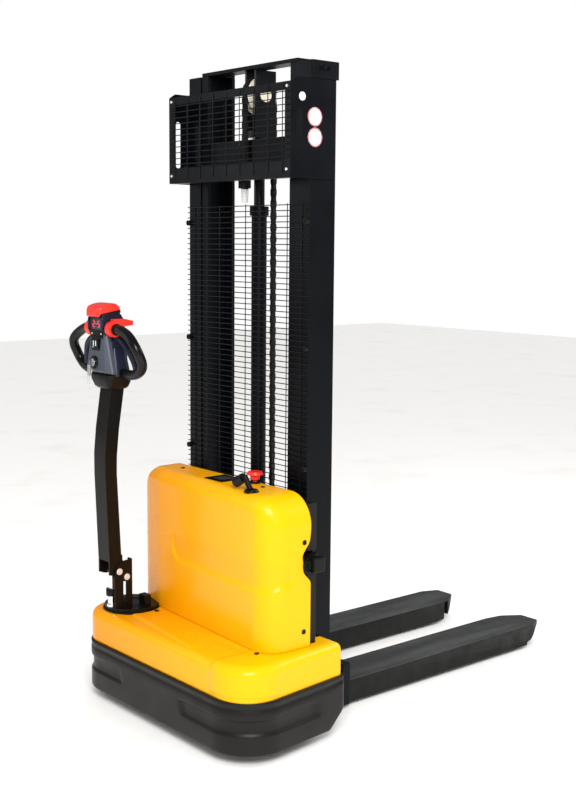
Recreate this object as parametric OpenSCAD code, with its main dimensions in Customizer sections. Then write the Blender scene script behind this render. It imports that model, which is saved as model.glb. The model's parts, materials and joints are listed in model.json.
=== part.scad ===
// Walkie stacker: a pedestrian-steered electric stacker with a two-stage mast.
// X is to the truck's right, Y points to the fork tips, Z is up, in millimetres.
// Shapes are drawn about the middle of the mast's rear face, on the floor, then moved so that
// the origin is on the floor at the middle of the whole truck.

/* [Mast] */
// Height of the fixed mast's columns
mast_h = 2080; // [1900:10:2300]
// Width over the two outer columns
mast_w = 625; // [600:5:680]
// Depth of the outer columns
mast_d = 105; // [100:1:120]
// Travel of the inner mast, and of the carriage in the inner mast
lift_travel = 1450; // [1000:50:1450]
// Diameter of the lift cylinder
cylinder_d = 50; // [40:1:56]

/* [Forks] */
// Distance from the mast's rear face to the fork tips
fork_reach = 1238; // [1100:1:1400]
// Width of one fork
fork_w = 165; // [150:1:170]
// Distance between the outer edges of the forks
fork_spread = 581; // [560:1:590]
// Height of the lowered fork's top
fork_top = 90; // [88:1:92]

/* [Chassis] */
// Right edge of the bumper skirt from the mast's middle
skirt_right = 493; // [480:1:520]
// Left edge of the bumper skirt from the mast's middle
skirt_left = 420; // [415:1:440]
// Rear edge of the bumper skirt behind the mast
skirt_rear = 402; // [400:1:415]
// Top edge of the bumper skirt
skirt_top = 196; // [180:1:200]
// Top of the lower cover
deck_z = 302; // [298:1:304]
// Top of the upper cover
cover_top = 775; // [740:5:800]

/* [Steering] */
// Steering axis to the left of the mast's middle
steer_x = 285; // [280:1:290]
// Steering axis behind the mast's rear face
steer_y = 265; // [262:1:268]
// Diameter of the drive wheel
drive_wheel_d = 210; // [200:1:212]
// Height of the tiller's pivot
pivot_z = 440; // [436:1:446]

/* [Hidden] */
$fn = 48;

// Colours
mast_black = [0.10, 0.11, 0.12];
fork_grey = [0.45, 0.46, 0.47];
cover_yellow = [1.0, 0.74, 0.05];
skirt_grey = [0.24, 0.235, 0.22];
trim_black = [0.07, 0.07, 0.07];
head_grey = [0.33, 0.34, 0.36];
signal_red = [0.90, 0.14, 0.10];
zinc = [0.75, 0.76, 0.78];

// The origin's place from the mast's middle
key_rear = 420;
grip_reach = 212;
origin_x = (skirt_right - steer_x - grip_reach) / 2;
origin_y = (fork_reach - key_rear) / 2;

// Mast sections
half_w = mast_w / 2;
base_top = 74;
crown_t = 12;
web_t = 12.5;
outer_lip = 248;
inner_web = 246;
roller_y = mast_d / 2;
flange_t = 13;
inner_floor = 84;
mast_roller_r = (mast_d - 2 * flange_t) / 2 - 0.4;
inner_y0 = 4;
inner_y1 = mast_d - 4;
inner_flange_t = 12;
carriage_roller_r = (inner_y1 - inner_y0) / 2 - inner_flange_t - 0.4;

// Forks and legs
fork_out = fork_spread / 2;
fork_in = fork_out - fork_w;
fork_root_y = 208;
leg_out = 270;
leg_in = 147;
leg_x = (leg_out + leg_in) / 2;
roller_axle_y = 1085;
load_roller_r = 37;

// Chain drive
cyl_y = 55;
sheave_r = 60;
sheave_z = mast_h - 78;
chain_w = 20;
chain_t = 15;
anchor_z = 1750;
carriage_anchor_z = 470;

// Covers
skirt_r_right = 145;
skirt_r_left = 130;
skirt_front = 44;
cover_right = 420;
cover_left = 350;
cover_rear = 242;
corner_r = 85;
rim_r = 26;
deck_under = 262;

// Tiller: places of its pivot, the gas spring and the throttle axis
pivot_y = -steer_y - 74;
spring_y = -steer_y - 80;
head_x = -steer_x;
shaft_y = -367;
shaft_z = 1252;

// Controls on top of the upper cover
e_stop_at = [165, -90];
lever_at = [268, -186];

module placed() {
    translate([-origin_x, -origin_y, 0])
    children();
}

module both_sides() {
    children();
    mirror([1, 0, 0])
    children();
}

// A box from its two corners
module block(a, b) {
    translate(a)
    cube(b - a);
}

// A cylinder along X with its middle at p
module rod_x(p, r, l) {
    translate(p)
    rotate([0, 90, 0])
    cylinder(r = r, h = l, center = true);
}

// A cylinder along Y with its middle at p
module rod_y(p, r, l) {
    translate(p)
    rotate([90, 0, 0])
    cylinder(r = r, h = l, center = true);
}

// A cylinder along Z standing on p
module rod_z(p, r, l) {
    translate(p)
    cylinder(r = r, h = l);
}

// A ring along X with its middle at p
module ring_x(p, r, bore, l) {
    translate(p)
    rotate([0, 90, 0])
    difference() {
        cylinder(r = r, h = l, center = true);
        cylinder(r = bore, h = l + 2, center = true);
    }
}

// A side profile in Y and Z, extruded along X from x0 to x1
module side_profile(points, x0, x1) {
    translate([x0, 0, 0])
    rotate([90, 0, 90])
    linear_extrude(x1 - x0)
    polygon(points);
}

function arc(c, r, a0, a1, n) =
    [for (i = [0 : n]) c + r * [cos(a0 + (a1 - a0) * i / n), sin(a0 + (a1 - a0) * i / n)]];

// Outline of the skirt seen from above, moved inwards by d
function skirt_outline(d) = concat(
    [[skirt_right - 34 - d, skirt_front - d / 2]],
    arc([-skirt_left + 28 + 30 + d / 2, skirt_front - 30], 30 - d / 2, 90, 180, 6),
    arc([-skirt_left + skirt_r_left, -skirt_rear + skirt_r_left], skirt_r_left - d, 180, 270, 14),
    arc([skirt_right - skirt_r_right, -skirt_rear + skirt_r_right], skirt_r_right - d, 270, 360, 14)
);

// Outline of the upper cover seen from above, moved inwards by d
function cover_outline(d) = concat(
    arc([cover_right - corner_r, 88 - cover_rear], corner_r - d, -94, 0, 10),
    [[cover_right - d, -74]],
    [[-cover_left + d, -74]],
    arc([-cover_left + 45, -133], 45 - d, 180, 258, 6),
    arc([-222 + 30, -162], 32 - d, 240, 268, 4)
);

// Where the mast's columns stand in the covers
module mast_pocket(z0, z1) {
    block([-half_w - 6, -12, z0], [half_w + 6, 200, z1]);
}

// ---- Chassis ----

module base_frame() {
    color(mast_black)
    placed()
    difference() {
        union() {
            block([-half_w, 0, 24], [half_w, mast_d, base_top]);
            block([-half_w, -12, 24], [half_w, 0, deck_under]);
            both_sides()
            block([half_w - 40, -60, 200], [half_w - 28, -12, deck_under]);
        }
        rod_y([0, -6, 111], 10, 20);
    }
}

// A straddle leg on the right side; its end holds the load roller
module leg() {
    union() {
        difference() {
            block([leg_in, mast_d, 24], [leg_out, roller_axle_y + 70, base_top]);
            block([leg_in + 22, roller_axle_y - 44, 20], [leg_out - 22, roller_axle_y + 44, 80]);
        }
        rod_x([leg_x, roller_axle_y, load_roller_r], 10, leg_out - leg_in);
    }
}

module leg_right() {
    color(mast_black)
    placed()
    leg();
}

module leg_left() {
    color(mast_black)
    placed()
    mirror([1, 0, 0])
    leg();
}

module chassis_deck() {
    color(mast_black)
    placed()
    difference() {
        union() {
            translate([0, 0, deck_under])
            linear_extrude(10)
            polygon(skirt_outline(20));
            // rear wall that carries the skirt
            block([-150, 15 - skirt_rear, 100], [200, 27 - skirt_rear, deck_under]);
            block([-150, 9 - skirt_rear, 100], [200, 15 - skirt_rear, 186]);
            rod_z([-steer_x, -steer_y, 246], 96, 16);
            rod_z([330, -250, 146], 60, 116);
        }
        rod_z([-steer_x, -steer_y, 240], 80.05, 40);
        rod_z([330, -250, 140], 14.05, 60);
        block([-half_w - 20, 0, 255], [half_w + 20, 100, 280]);
        block([-half_w - 1, -12, 255], [half_w + 1, 1, 280]);
        block([66, -76, 255], [90, -50, 280]);
    }
}

module bumper_skirt() {
    color(skirt_grey)
    placed()
    difference() {
        translate([0, 0, 32])
        linear_extrude(skirt_top - 32)
        polygon(skirt_outline(0));
        translate([0, 0, 30])
        linear_extrude(skirt_top - 40)
        polygon(skirt_outline(9));
        translate([0, 0, 40])
        linear_extrude(skirt_top)
        polygon(skirt_outline(15));
        mast_pocket(0, 400);
        block([-half_w - 6, -60, 0], [half_w + 6, 0, 400]);
        // the front lower corners are cut back
        side_profile([[-40, 20], [60, 20], [60, 110]], -600, 600);
    }
}

module lower_cover() {
    color(cover_yellow)
    placed()
    difference() {
        hull() {
            translate([0, 0, skirt_top])
            linear_extrude(deck_z - rim_r - skirt_top)
            polygon(skirt_outline(9));
            for (a = [30 : 30 : 90]) {
                translate([0, 0, deck_z - rim_r + rim_r * sin(a) - 0.1])
                linear_extrude(0.1)
                polygon(skirt_outline(9 + rim_r * (1 - cos(a))));
            }
        }
        translate([0, 0, skirt_top - 1])
        linear_extrude(274 - skirt_top)
        polygon(skirt_outline(15));
        translate([0, 0, 240])
        linear_extrude(deck_z - 6 - 240)
        polygon(skirt_outline(30));
        rod_z([-steer_x, -steer_y, 250], 97, 100);
        block([-cover_left + 20, -176, 250], [cover_right - 20, -36, 350]);
        mast_pocket(150, 400);
    }
}

// Solid form of the upper cover, shrunk by d, with its foot at z0 and its front open by o
module upper_form(d, z0, o) {
    intersection() {
        translate([0, 0, z0])
        linear_extrude(cover_top - d - z0)
        polygon([for (p = cover_outline(d)) [p[0], p[1] > -80 ? p[1] + o : p[1]]]);
        rotate([90, 0, 0])
        linear_extrude(500)
        polygon(concat(
            [[-cover_left + d, 0], [cover_right - d, 0]],
            arc([cover_right - 95, cover_top - 95], 95 - d, 0, 90, 8),
            arc([-cover_left + corner_r, cover_top - corner_r], corner_r - d, 90, 180, 8)
        ));
        side_profile(concat(
            [[0, 0], [0, cover_top - d]],
            arc([45 - cover_rear, cover_top - 45], 45 - d, 90, 180, 6),
            [[d - cover_rear, 0]]
        ), -500, 500);
    }
}

module upper_cover() {
    color(cover_yellow)
    placed()
    difference() {
        upper_form(0, deck_z, 0);
        upper_form(5, deck_z - 5, 6);
        rod_z([-steer_x, -steer_y, 200], 102, 145);
        // hand notch at the plug
        rod_x([cover_right, -74, 558], 34, 60);
        rod_z([e_stop_at[0], e_stop_at[1], cover_top - 30], 11.2, 60);
        rod_z([lever_at[0], lever_at[1], cover_top - 30], 8.4, 60);
    }
}

// Sheet-metal panel at the mast, which carries the pump, the tank and the controller
module back_panel() {
    color(skirt_grey)
    placed()
    difference() {
        union() {
            block([-330, -44, deck_under + 10], [cover_right - 26, -36, cover_top - 30]);
            block([-330, -73.5, cover_top - 38], [cover_right - 26, -44, cover_top - 30]);
            block([cover_right - 26, -73.5, deck_z], [cover_right - 18, -36, cover_top - 30]);
            block([-338, -73.5, deck_z], [-330, -36, cover_top - 30]);
        }
        block([cover_right - 30, -80, 525], [cover_right, -30, 597]);
    }
}

// Cap screws: three on the lower cover, two on top of the upper cover and two at its side
module cover_screws() {
    color(trim_black)
    placed()
    union() {
        for (p = [[-176, -237], [372, -246], [359, 9]]) {
            rod_z([p[0], p[1], deck_z], 8, 3);
        }
        for (p = [[-189, -119], [232, -112]]) {
            rod_z([p[0], p[1], cover_top], 7, 2.5);
        }
        for (z = [354, 633]) {
            rod_x([cover_right + 1.2, -101, z], 8, 2.4);
        }
    }
}

module display_panel() {
    color(trim_black)
    placed()
    difference() {
        block([0, -168, cover_top], [92, -86, cover_top + 3]);
        block([22, -150, cover_top + 1.5], [70, -104, cover_top + 4]);
    }
}

module e_stop_base() {
    color(trim_black)
    placed()
    difference() {
        union() {
            rod_z([e_stop_at[0], e_stop_at[1], cover_top], 19, 6);
            rod_z([e_stop_at[0], e_stop_at[1], cover_top - 28], 11, 28);
        }
        rod_z([e_stop_at[0], e_stop_at[1], cover_top - 22], 7.05, 40);
    }
}

module e_stop_button() {
    color(signal_red)
    placed()
    union() {
        rod_z([e_stop_at[0], e_stop_at[1], cover_top - 10], 7, 24);
        rod_z([e_stop_at[0], e_stop_at[1], cover_top + 13], 15, 10);
        translate([e_stop_at[0], e_stop_at[1], cover_top + 22.9])
        cylinder(r1 = 15, r2 = 27, h = 6);
        translate([e_stop_at[0], e_stop_at[1], cover_top + 28.8])
        cylinder(r1 = 27, r2 = 22, h = 9);
    }
}

// Selector lever: a boss that turns in the cover, a leaning stalk and a knob
module lift_lever() {
    color(trim_black)
    placed()
    translate([lever_at[0], lever_at[1], cover_top])
    union() {
        rod_z([0, 0, -20], 8, 21);
        translate([0, 0, 0.5])
        cylinder(r1 = 24, r2 = 19, h = 8);
        rotate([0, -37, 0])
        rod_z([0, 0, 8], 9, 48);
        translate([-57, 0, 29])
        rotate([0, -118, 0])
        cylinder(r1 = 15, r2 = 17, h = 42, center = true);
    }
}

module disconnect_socket() {
    color(trim_black)
    placed()
    difference() {
        union() {
            block([cover_right - 24, -104, 532], [cover_right - 7, -40, 590]);
            rod_x([cover_right - 3, -74, 558], 32, 14);
        }
        block([cover_right - 16, -94, 544], [cover_right + 8, -50, 576]);
    }
}

module disconnect_plug() {
    color(trim_black)
    placed()
    union() {
        block([cover_right - 15, -93, 545], [cover_right + 4, -51, 575]);
        block([cover_right + 4, -82, 538], [cover_right + 26, -38, 584]);
    }
}

module battery_pack() {
    color([0.2, 0.2, 0.22])
    placed()
    for (x = [-170, 96]) {
        difference() {
            union() {
                block([x, -172, deck_under + 10], [x + 230, -48, deck_z + 150]);
                for (t = [30, 200]) {
                    rod_z([x + t, -115, deck_z + 150], 9, 16);
                }
            }
            block([x + 60, -176, deck_z + 110], [x + 170, -166, deck_z + 130]);
        }
    }
}

module pump_motor() {
    color(mast_black)
    placed()
    union() {
        rod_x([60, -118, 610], 56, 170);
        rod_x([60, -118, 610], 42, 190);
        block([155, -160, 565], [215, -76, 655]);
        block([165, -80, 575], [205, -44, 645]);
        rod_z([190, -118, 545], 10, 30);
    }
}

module oil_tank() {
    color([0.85, 0.87, 0.88])
    placed()
    difference() {
        union() {
            block([-180, -170, 540], [-45, -60, 700]);
            block([-160, -60, 580], [-65, -44, 660]);
        }
        block([-176, -166, 544], [-49, -64, 696]);
        rod_z([-110, -115, 690], 15, 20);
    }
}

module motor_controller() {
    color(zinc)
    placed()
    union() {
        block([-316, -150, 420], [-196, -44, 520]);
        for (x = [-310 : 12 : -202]) {
            block([x, -156, 424], [x + 4, -150, 516]);
        }
    }
}

// ---- Fixed mast ----

// A fixed column on the right side: a channel with a cap plate that holds the lifting bolts
module outer_column() {
    cap_t = 5;
    union() {
        translate([0, 0, base_top])
        linear_extrude(mast_h - base_top)
        union() {
            translate([half_w - web_t, 0])
            square([web_t, mast_d]);
            translate([outer_lip, 0])
            square([half_w - outer_lip, flange_t]);
            translate([outer_lip, mast_d - flange_t])
            square([half_w - outer_lip, flange_t]);
        }
        block([half_w, 4, mast_h - 54], [half_w + cap_t, mast_d + 6, mast_h]);
        for (y = [48, 72]) {
            rod_x([half_w + cap_t, y, mast_h - 22], 6, 14);
        }
    }
}

module outer_column_right() {
    color(mast_black)
    placed()
    outer_column();
}

module outer_column_left() {
    color(mast_black)
    placed()
    mirror([1, 0, 0])
    outer_column();
}

// Rear tie beams of the fixed mast, and the bracket and cone of the chain anchor
module outer_ties() {
    color(mast_black)
    placed()
    union() {
        for (z = [640, 1738]) {
            block([-half_w, -30, z], [half_w, -20, z + 50]);
            both_sides()
            block([half_w - 30, -20, z], [half_w, 0, z + 50]);
        }
        block([-24, -20, anchor_z - 12], [24, 3, anchor_z]);
        block([-18, -18, 1706], [18, 6, anchor_z - 12]);
        translate([0, cyl_y - sheave_r, 1662])
        cylinder(r1 = 9, r2 = 12.5, h = 44);
    }
}

// Hood round the mast's top: side plates with a slot, and an upper and a lower bar
module guard_frame() {
    guard_x = half_w + 4;
    color(mast_black)
    placed()
    difference() {
        union() {
            both_sides()
            side_profile([[-81, 1727], [100, 1727], [100, 2025], [-58, 2025], [-81, 2010]],
                         guard_x - 4, guard_x);
            block([-guard_x, -81, 1985], [guard_x, -75, 2010]);
            block([-guard_x, -81, 1727], [guard_x, -75, 1778]);
            block([-guard_x, -81, 1727], [guard_x, -50, 1733]);
            both_sides()
            block([guard_x - 28, -81, 1727], [guard_x, -77, 2010]);
        }
        both_sides()
        hull() {
            rod_x([guard_x, -46, 1790], 10, 20);
            rod_x([guard_x, -46, 1925], 10, 20);
        }
    }
}

module guard_mesh() {
    color(mast_black)
    placed()
    union() {
        for (x = [-280 : 70 : 280]) {
            rod_z([x, -82.5, 1740], 1.5, 262);
        }
        for (z = [1790 : 19 : 1980]) {
            rod_x([0, -85.5, z], 1.5, 616);
        }
    }
}

module mast_mesh() {
    color(mast_black)
    placed()
    union() {
        for (x = [-280 : 70 : 280]) {
            rod_z([x, -1.5, 700], 1.5, 955);
        }
        for (z = [705 : 17.5 : 1650]) {
            rod_x([0, -4.5, z], 1.5, 634);
        }
    }
}

// Clips that hold the mesh to the columns
module mesh_clips() {
    color(mast_black)
    placed()
    both_sides()
    for (z = [822, 1200, 1590]) {
        difference() {
            rod_y([half_w - 6, -7, z + 8], 9, 12);
            rod_y([half_w - 6, -14, z + 8], 4, 6);
        }
    }
}

module lift_cylinder() {
    color(mast_black)
    placed()
    difference() {
        union() {
            rod_z([0, cyl_y, base_top], cylinder_d / 2, 1650 - base_top);
            rod_z([0, cyl_y, 1620], cylinder_d / 2 + 6, 30);
            block([-20, cyl_y - 44, 96], [20, cyl_y, 126]);
        }
        rod_z([0, cyl_y, 96], 17.56, 1600);
    }
}

// Hose from the foot of the lift cylinder, up between the batteries, to the pump block
function hose_path() = [
    [0, 8, 111], [0, 0, 111], [0, -12, 112], [4, -30, 122], [20, -46, 150], [50, -58, 195],
    [70, -64, 235], [78, -66, 275], [78, -68, 340], [79, -72, 400], [86, -86, 450], [112, -104, 486],
    [148, -114, 502], [174, -118, 512], [187, -118, 526], [190, -118, 541]
];

module cylinder_hose() {
    color(trim_black)
    placed()
    swept_tube(concat([[0, 11, 111]], smooth(hose_path(), 2), [[190, -118, 545]]), 8, 10);
}

// Points along a smooth curve through p, with k steps from each point to the next
function smooth(p, k) = concat(
    [for (i = [0 : len(p) - 2], j = [0 : k - 1])
        let (a = p[max(i - 1, 0)], b = p[i], c = p[i + 1], d = p[min(i + 2, len(p) - 1)], t = j / k)
        0.5 * (2 * b + (c - a) * t + (2 * a - 5 * b + 4 * c - d) * t * t
               + (3 * b - a - 3 * c + d) * t * t * t)],
    [p[len(p) - 1]]
);

// A tube of radius r with n sides along points
module swept_tube(points, r, n) {
    last = len(points) - 1;
    ring = function(i)
        let (a = points[max(i - 1, 0)], b = points[min(i + 1, last)], t = (b - a) / norm(b - a),
             s = cross(t, [0.3, 0.9, 0.31]), u = s / norm(s), v = cross(t, u))
        [for (k = [0 : n - 1]) points[i] + r * (cos(360 * k / n) * u + sin(360 * k / n) * v)];
    polyhedron(
        points = [for (i = [0 : last]) each ring(i)],
        faces = concat(
            [[for (k = [0 : n - 1]) k]],
            [for (i = [0 : last - 1], k = [0 : n - 1])
                [i * n + k, (i + 1) * n + k, (i + 1) * n + (k + 1) % n, i * n + (k + 1) % n]],
            [[for (k = [n - 1 : -1 : 0]) last * n + k]]
        )
    );
}

// ---- Moving mast ----

// A moving column on the right side, with the stub axle of its lower roller
module inner_column() {
    union() {
        translate([0, 0, inner_floor])
        linear_extrude(mast_h - inner_floor)
        union() {
            translate([inner_web - 10, inner_y0])
            square([10, inner_y1 - inner_y0]);
            translate([212, inner_y0])
            square([inner_web - 212, inner_flange_t]);
            translate([190, inner_y1 - inner_flange_t])
            square([inner_web - 190, inner_flange_t]);
        }
        rod_x([265, roller_y, 130], 10, 50);
    }
}

module inner_column_right() {
    color(mast_black)
    placed()
    inner_column();
}

module inner_column_left() {
    color(mast_black)
    placed()
    mirror([1, 0, 0])
    inner_column();
}

// Crossbeams of the inner mast: a crown plate, an upper plate and a foot plate
module inner_crossbeams() {
    color(mast_black)
    placed()
    union() {
        block([-inner_web, inner_y0, mast_h], [inner_web, 62, mast_h + crown_t]);
        both_sides()
        block([190, 62, mast_h], [inner_web, inner_y1, mast_h + crown_t]);
        block([-212, 8, 1745], [212, 16, 1860]);
        block([-212, 8, 200], [212, 16, 280]);
    }
}

// Piston rod and its head, whose two side plates hold the sheave under the crown plate
module piston_rod() {
    color(zinc)
    placed()
    difference() {
        union() {
            rod_z([0, cyl_y, 110], 17.5, 1765);
            block([-28, 16, 1868], [28, 100, 1890]);
            both_sides()
            block([20, 16, 1890], [28, 100, mast_h]);
        }
        rod_x([0, cyl_y, sheave_z], 10.05, 80);
    }
}

module chain_sheave() {
    color([0.87, 0.85, 0.75])
    placed()
    translate([0, cyl_y, sheave_z])
    rotate([0, 90, 0])
    union() {
        difference() {
            cylinder(r = 60, h = 30, center = true);
            difference() {
                cylinder(r = 70, h = chain_w + 2, center = true);
                cylinder(r = sheave_r - chain_t / 2 - 0.5, h = chain_w + 4, center = true);
            }
        }
        cylinder(r = 10, h = 68, center = true);
        // hub caps outside the piston's head
        for (z = [-34, 28.4]) {
            translate([0, 0, z])
            cylinder(r = 22, h = 5.6);
        }
    }
}

// Chain from the anchor up to the sheave
module chain_rear_run() {
    color(trim_black)
    placed()
    block([-chain_w / 2, cyl_y - sheave_r - chain_t / 2, anchor_z + 0.3],
          [chain_w / 2, cyl_y - sheave_r + chain_t / 2, sheave_z]);
}

// Chain over the sheave and down to the carriage
module chain_front_run() {
    color(trim_black)
    placed()
    union() {
        block([-chain_w / 2, cyl_y + sheave_r - chain_t / 2, carriage_anchor_z],
              [chain_w / 2, cyl_y + sheave_r + chain_t / 2, sheave_z]);
        translate([0, cyl_y, sheave_z])
        rotate([90, 0, 90])
        linear_extrude(chain_w, center = true)
        difference() {
            circle(r = sheave_r + chain_t / 2);
            circle(r = sheave_r - chain_t / 2);
            translate([-100, -200])
            square([200, 200]);
        }
    }
}

// Lower rollers of the inner mast, which run in the outer columns
module mast_rollers() {
    color(zinc)
    placed()
    both_sides()
    ring_x([272, roller_y, 130], mast_roller_r, 10.06, 34);
}

// ---- Carriage and forks ----

module carriage_frame() {
    color(mast_black)
    placed()
    union() {
        both_sides()
        block([172, 32, 96], [186, 150, 580]);
        both_sides()
        block([172, 150, 96], [186, 172, 157]);
        block([-172, 126, 96], [172, 140, 200]);
        block([-172, 126, 500], [172, 140, 580]);
        both_sides()
        block([60, 126, 200], [100, 140, 500]);
        // hanging tab and block for the chain's front end
        block([-40, 126, carriage_anchor_z - 50], [40, 140, 500]);
        block([-18, 106, carriage_anchor_z - 40], [18, 126, carriage_anchor_z]);
        both_sides()
        for (z = [170, 540]) {
            rod_x([208, roller_y, z], 10, 46);
        }
    }
}

module carriage_roller_pair(z) {
    both_sides()
    ring_x([223, roller_y, z], carriage_roller_r, 10.06, 22);
}

module carriage_rollers_upper() {
    color(zinc)
    placed()
    carriage_roller_pair(540);
}

module carriage_rollers_lower() {
    color(zinc)
    placed()
    carriage_roller_pair(170);
}

// One fork on the right side: an upturned channel that narrows and slopes at its tip
module fork() {
    wall = 8;
    difference() {
        translate([0, 0, 12])
        linear_extrude(fork_top - 12)
        polygon([
            [fork_in, fork_root_y],
            [fork_out, fork_root_y],
            [fork_out, fork_reach - 70],
            [fork_out - 28, fork_reach],
            [fork_in + 58, fork_reach],
            [fork_in + 12, fork_reach - 70],
            [fork_in, fork_reach - 145]
        ]);
        block([fork_in + wall, 100, 0], [fork_out - wall, roller_axle_y + 78, fork_top - wall]);
        side_profile(
            [[fork_reach - 90, 0], [fork_reach - 90, 22], [fork_reach - 40, 38], [fork_reach + 1, 74],
             [fork_reach + 1, 0]],
            0, 400
        );
    }
}

module fork_right() {
    color(fork_grey)
    placed()
    fork();
}

module fork_left() {
    color(fork_grey)
    placed()
    mirror([1, 0, 0])
    fork();
}

// Collars at the fork roots, which straddle the legs
module fork_heels() {
    color(mast_black)
    placed()
    both_sides()
    difference() {
        block([fork_in - 13, 172, 12], [fork_out + 13.5, fork_root_y, 157]);
        block([fork_in + 10, 160, 0], [fork_out - 8, 220, fork_top - 8]);
    }
}

// ---- Wheels ----

module load_roller(x) {
    ring_x([x, roller_axle_y, load_roller_r], load_roller_r, 10.06, 72);
}

module load_roller_left() {
    color(trim_black)
    placed()
    load_roller(-leg_x);
}

module load_roller_right() {
    color(trim_black)
    placed()
    load_roller(leg_x);
}

module caster_fork() {
    color(zinc)
    placed()
    union() {
        rod_z([330, -250, 138], 14, 40);
        rod_z([330, -250, 132], 50, 12);
        both_sides_at(330)
        block([30, -250 - 18, 50], [36, -250 + 40, 132]);
        rod_x([330, -228, 62.5], 8, 72);
    }
}

// Mirrored copies about a plane at x
module both_sides_at(x) {
    translate([x, 0, 0])
    both_sides()
    children();
}

module caster_wheel() {
    color(trim_black)
    placed()
    ring_x([330, -228, 62.5], 62.5, 8.06, 50);
}

module drive_wheel() {
    color(trim_black)
    placed()
    ring_x([-steer_x, -steer_y, drive_wheel_d / 2], drive_wheel_d / 2, 15.06, 70);
}

// Gear housing beside the wheel, its axle and the ring that turns in the deck
module drive_housing() {
    color(zinc)
    placed()
    translate([-steer_x, -steer_y, 0])
    union() {
        block([40, -48, 70], [62, 48, 226]);
        block([-60, -48, 212], [62, 48, 226]);
        block([-58, -40, 80], [-40, 40, 212]);
        rod_x([2, 0, drive_wheel_d / 2], 15, 120);
        difference() {
            rod_z([0, 0, 226], 80, 76.5);
            rod_z([0, 0, 225], 62, 80);
        }
    }
}

module drive_motor() {
    color(mast_black)
    placed()
    union() {
        rod_z([-steer_x, -steer_y, 226], 52, 62);
        rod_z([-steer_x, -steer_y, 288], 40, 10);
    }
}

// ---- Steering platform and tiller ----

function bracket_top() =
    [[-92, pivot_z - 6], [-88, pivot_z + 14], [-66, pivot_z + 34], [-24, pivot_z + 38]];

// Turntable disc, the bracket that carries the tiller and the cable gland
module steer_platform() {
    color(trim_black)
    placed()
    translate([-steer_x, -steer_y, 0])
    difference() {
        union() {
            rod_z([0, 0, 302.5], 92, 12);
            side_profile(concat([[-24, 314], [-92, 314]], bracket_top()), 36, 40);
            side_profile(concat([[-24, 314], [-52, 314], [-52, 424], [-92, 424]], bracket_top()), -40, -36);
            both_sides()
            block([20, -30, 314], [40, -24, pivot_z + 38]);
            block([-36, -58, 314], [36, -50, 330]);
            block([34, 6, 314], [70, 30, 350]);
        }
        rod_x([0, pivot_y + steer_y, pivot_z], 7.05, 100);
        block([30, -59, 338], [44, -48, 404]);
    }
}

module gas_spring_body() {
    color(zinc)
    placed()
    translate([-steer_x, spring_y, 0])
    difference() {
        union() {
            rod_z([0, 0, 314.5], 17, 10);
            rod_z([0, 0, 314.5], 13.5, 50);
            rod_z([0, 0, 352], 18, 25);
        }
        rod_z([0, 0, 317], 11.06, 80);
    }
}

module gas_spring_rod() {
    color(zinc)
    placed()
    translate([-steer_x, spring_y, 0])
    rod_z([0, 0, 354], 11, 70);
}

// Bent tube with two cheeks at its foot, which turn on the pivot pin
module tiller_arm() {
    color(trim_black)
    placed()
    translate([-steer_x, 0, 0])
    union() {
        difference() {
            side_profile([[-374, 476], [-327, 476], [-331, 560], [-342, 770], [-341, 830], [-332, 920],
                          [-308, 1076], [-355.5, 1076], [-378, 925], [-386, 840], [-386, 770], [-378, 560]],
                         -35, 35);
            side_profile([[-371, 486], [-330, 486], [-334, 560], [-345, 770], [-344, 830], [-335, 920],
                          [-311, 1077], [-352.5, 1077], [-375, 925], [-383, 840], [-383, 770],
                          [-375, 560]], -32, 32);
        }
        both_sides()
        side_profile([[-374, 478], [-374, pivot_z - 8], [-350, pivot_z - 16], [-326, pivot_z - 16],
                      [-322, 478]], 28, 35);
        rod_x([0, pivot_y, pivot_z], 7, 84);
        rod_x([0, pivot_y, pivot_z], 13, 70);
    }
}

// Cable bundle from the gland block to the bracket's foot, about the steering axis
function cable_path() =
    [[31, 18, 332], [20, 17, 332], [4, 8, 331], [-6, -8, 328], [-9, -26, 324], [-9, -47, 322]];

module tiller_cable() {
    color(trim_black)
    placed()
    translate([-steer_x, -steer_y, 0])
    swept_tube(concat([[34, 18, 332]], smooth(cable_path(), 3), [[-9, -50, 322]]), 6, 10);
}

// Housing at the tiller's top: socket, trunk with a recessed display, and a leaning faceplate
module tiller_head() {
    color(head_grey)
    placed()
    translate([head_x, 0, 0])
    difference() {
        union() {
            translate([0, -345, 1056])
            cylinder(r1 = 56, r2 = 62, h = 44);
            side_profile([[-388, 1100], [-300, 1100], [-300, 1160], [-314, 1284], [-326, 1300], [-398, 1292],
                          [-400, 1246], [-388, 1240]], -44, 44);
            intersection() {
                side_profile([[-401, 1114], [-390, 1243], [-376, 1243], [-376, 1114]], -80, 80);
                faceplate_form([[-53, 1100], [53, 1100], [34, 1250], [-34, 1250]]);
            }
            intersection() {
                side_profile([[-377, 1110], [-380, 1243], [-350, 1243], [-350, 1110]], -80, 80);
                faceplate_form([[-77, 1100], [77, 1100], [44, 1250], [-44, 1250]]);
            }
        }
        rod_z([0, -365, 1278], 8.5, 40);
        // display, rocker's pocket and pin, lock barrel, socket for the arm
        block([-37, -410, 1248], [37, -392, 1286]);
        block([-24, -410, 1186], [24, -380, 1222]);
        rod_x([0, -388, 1204], 3.05, 56);
        rod_y([-4, -398, 1142], 12.66, 24);
        block([-35.1, -360, 1050], [35.1, -307, 1076]);
    }
}

// A front outline in X and Z, deep enough to be cut by a side profile
module faceplate_form(points) {
    rotate([90, 0, 0])
    linear_extrude(500)
    polygon(points);
}

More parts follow.
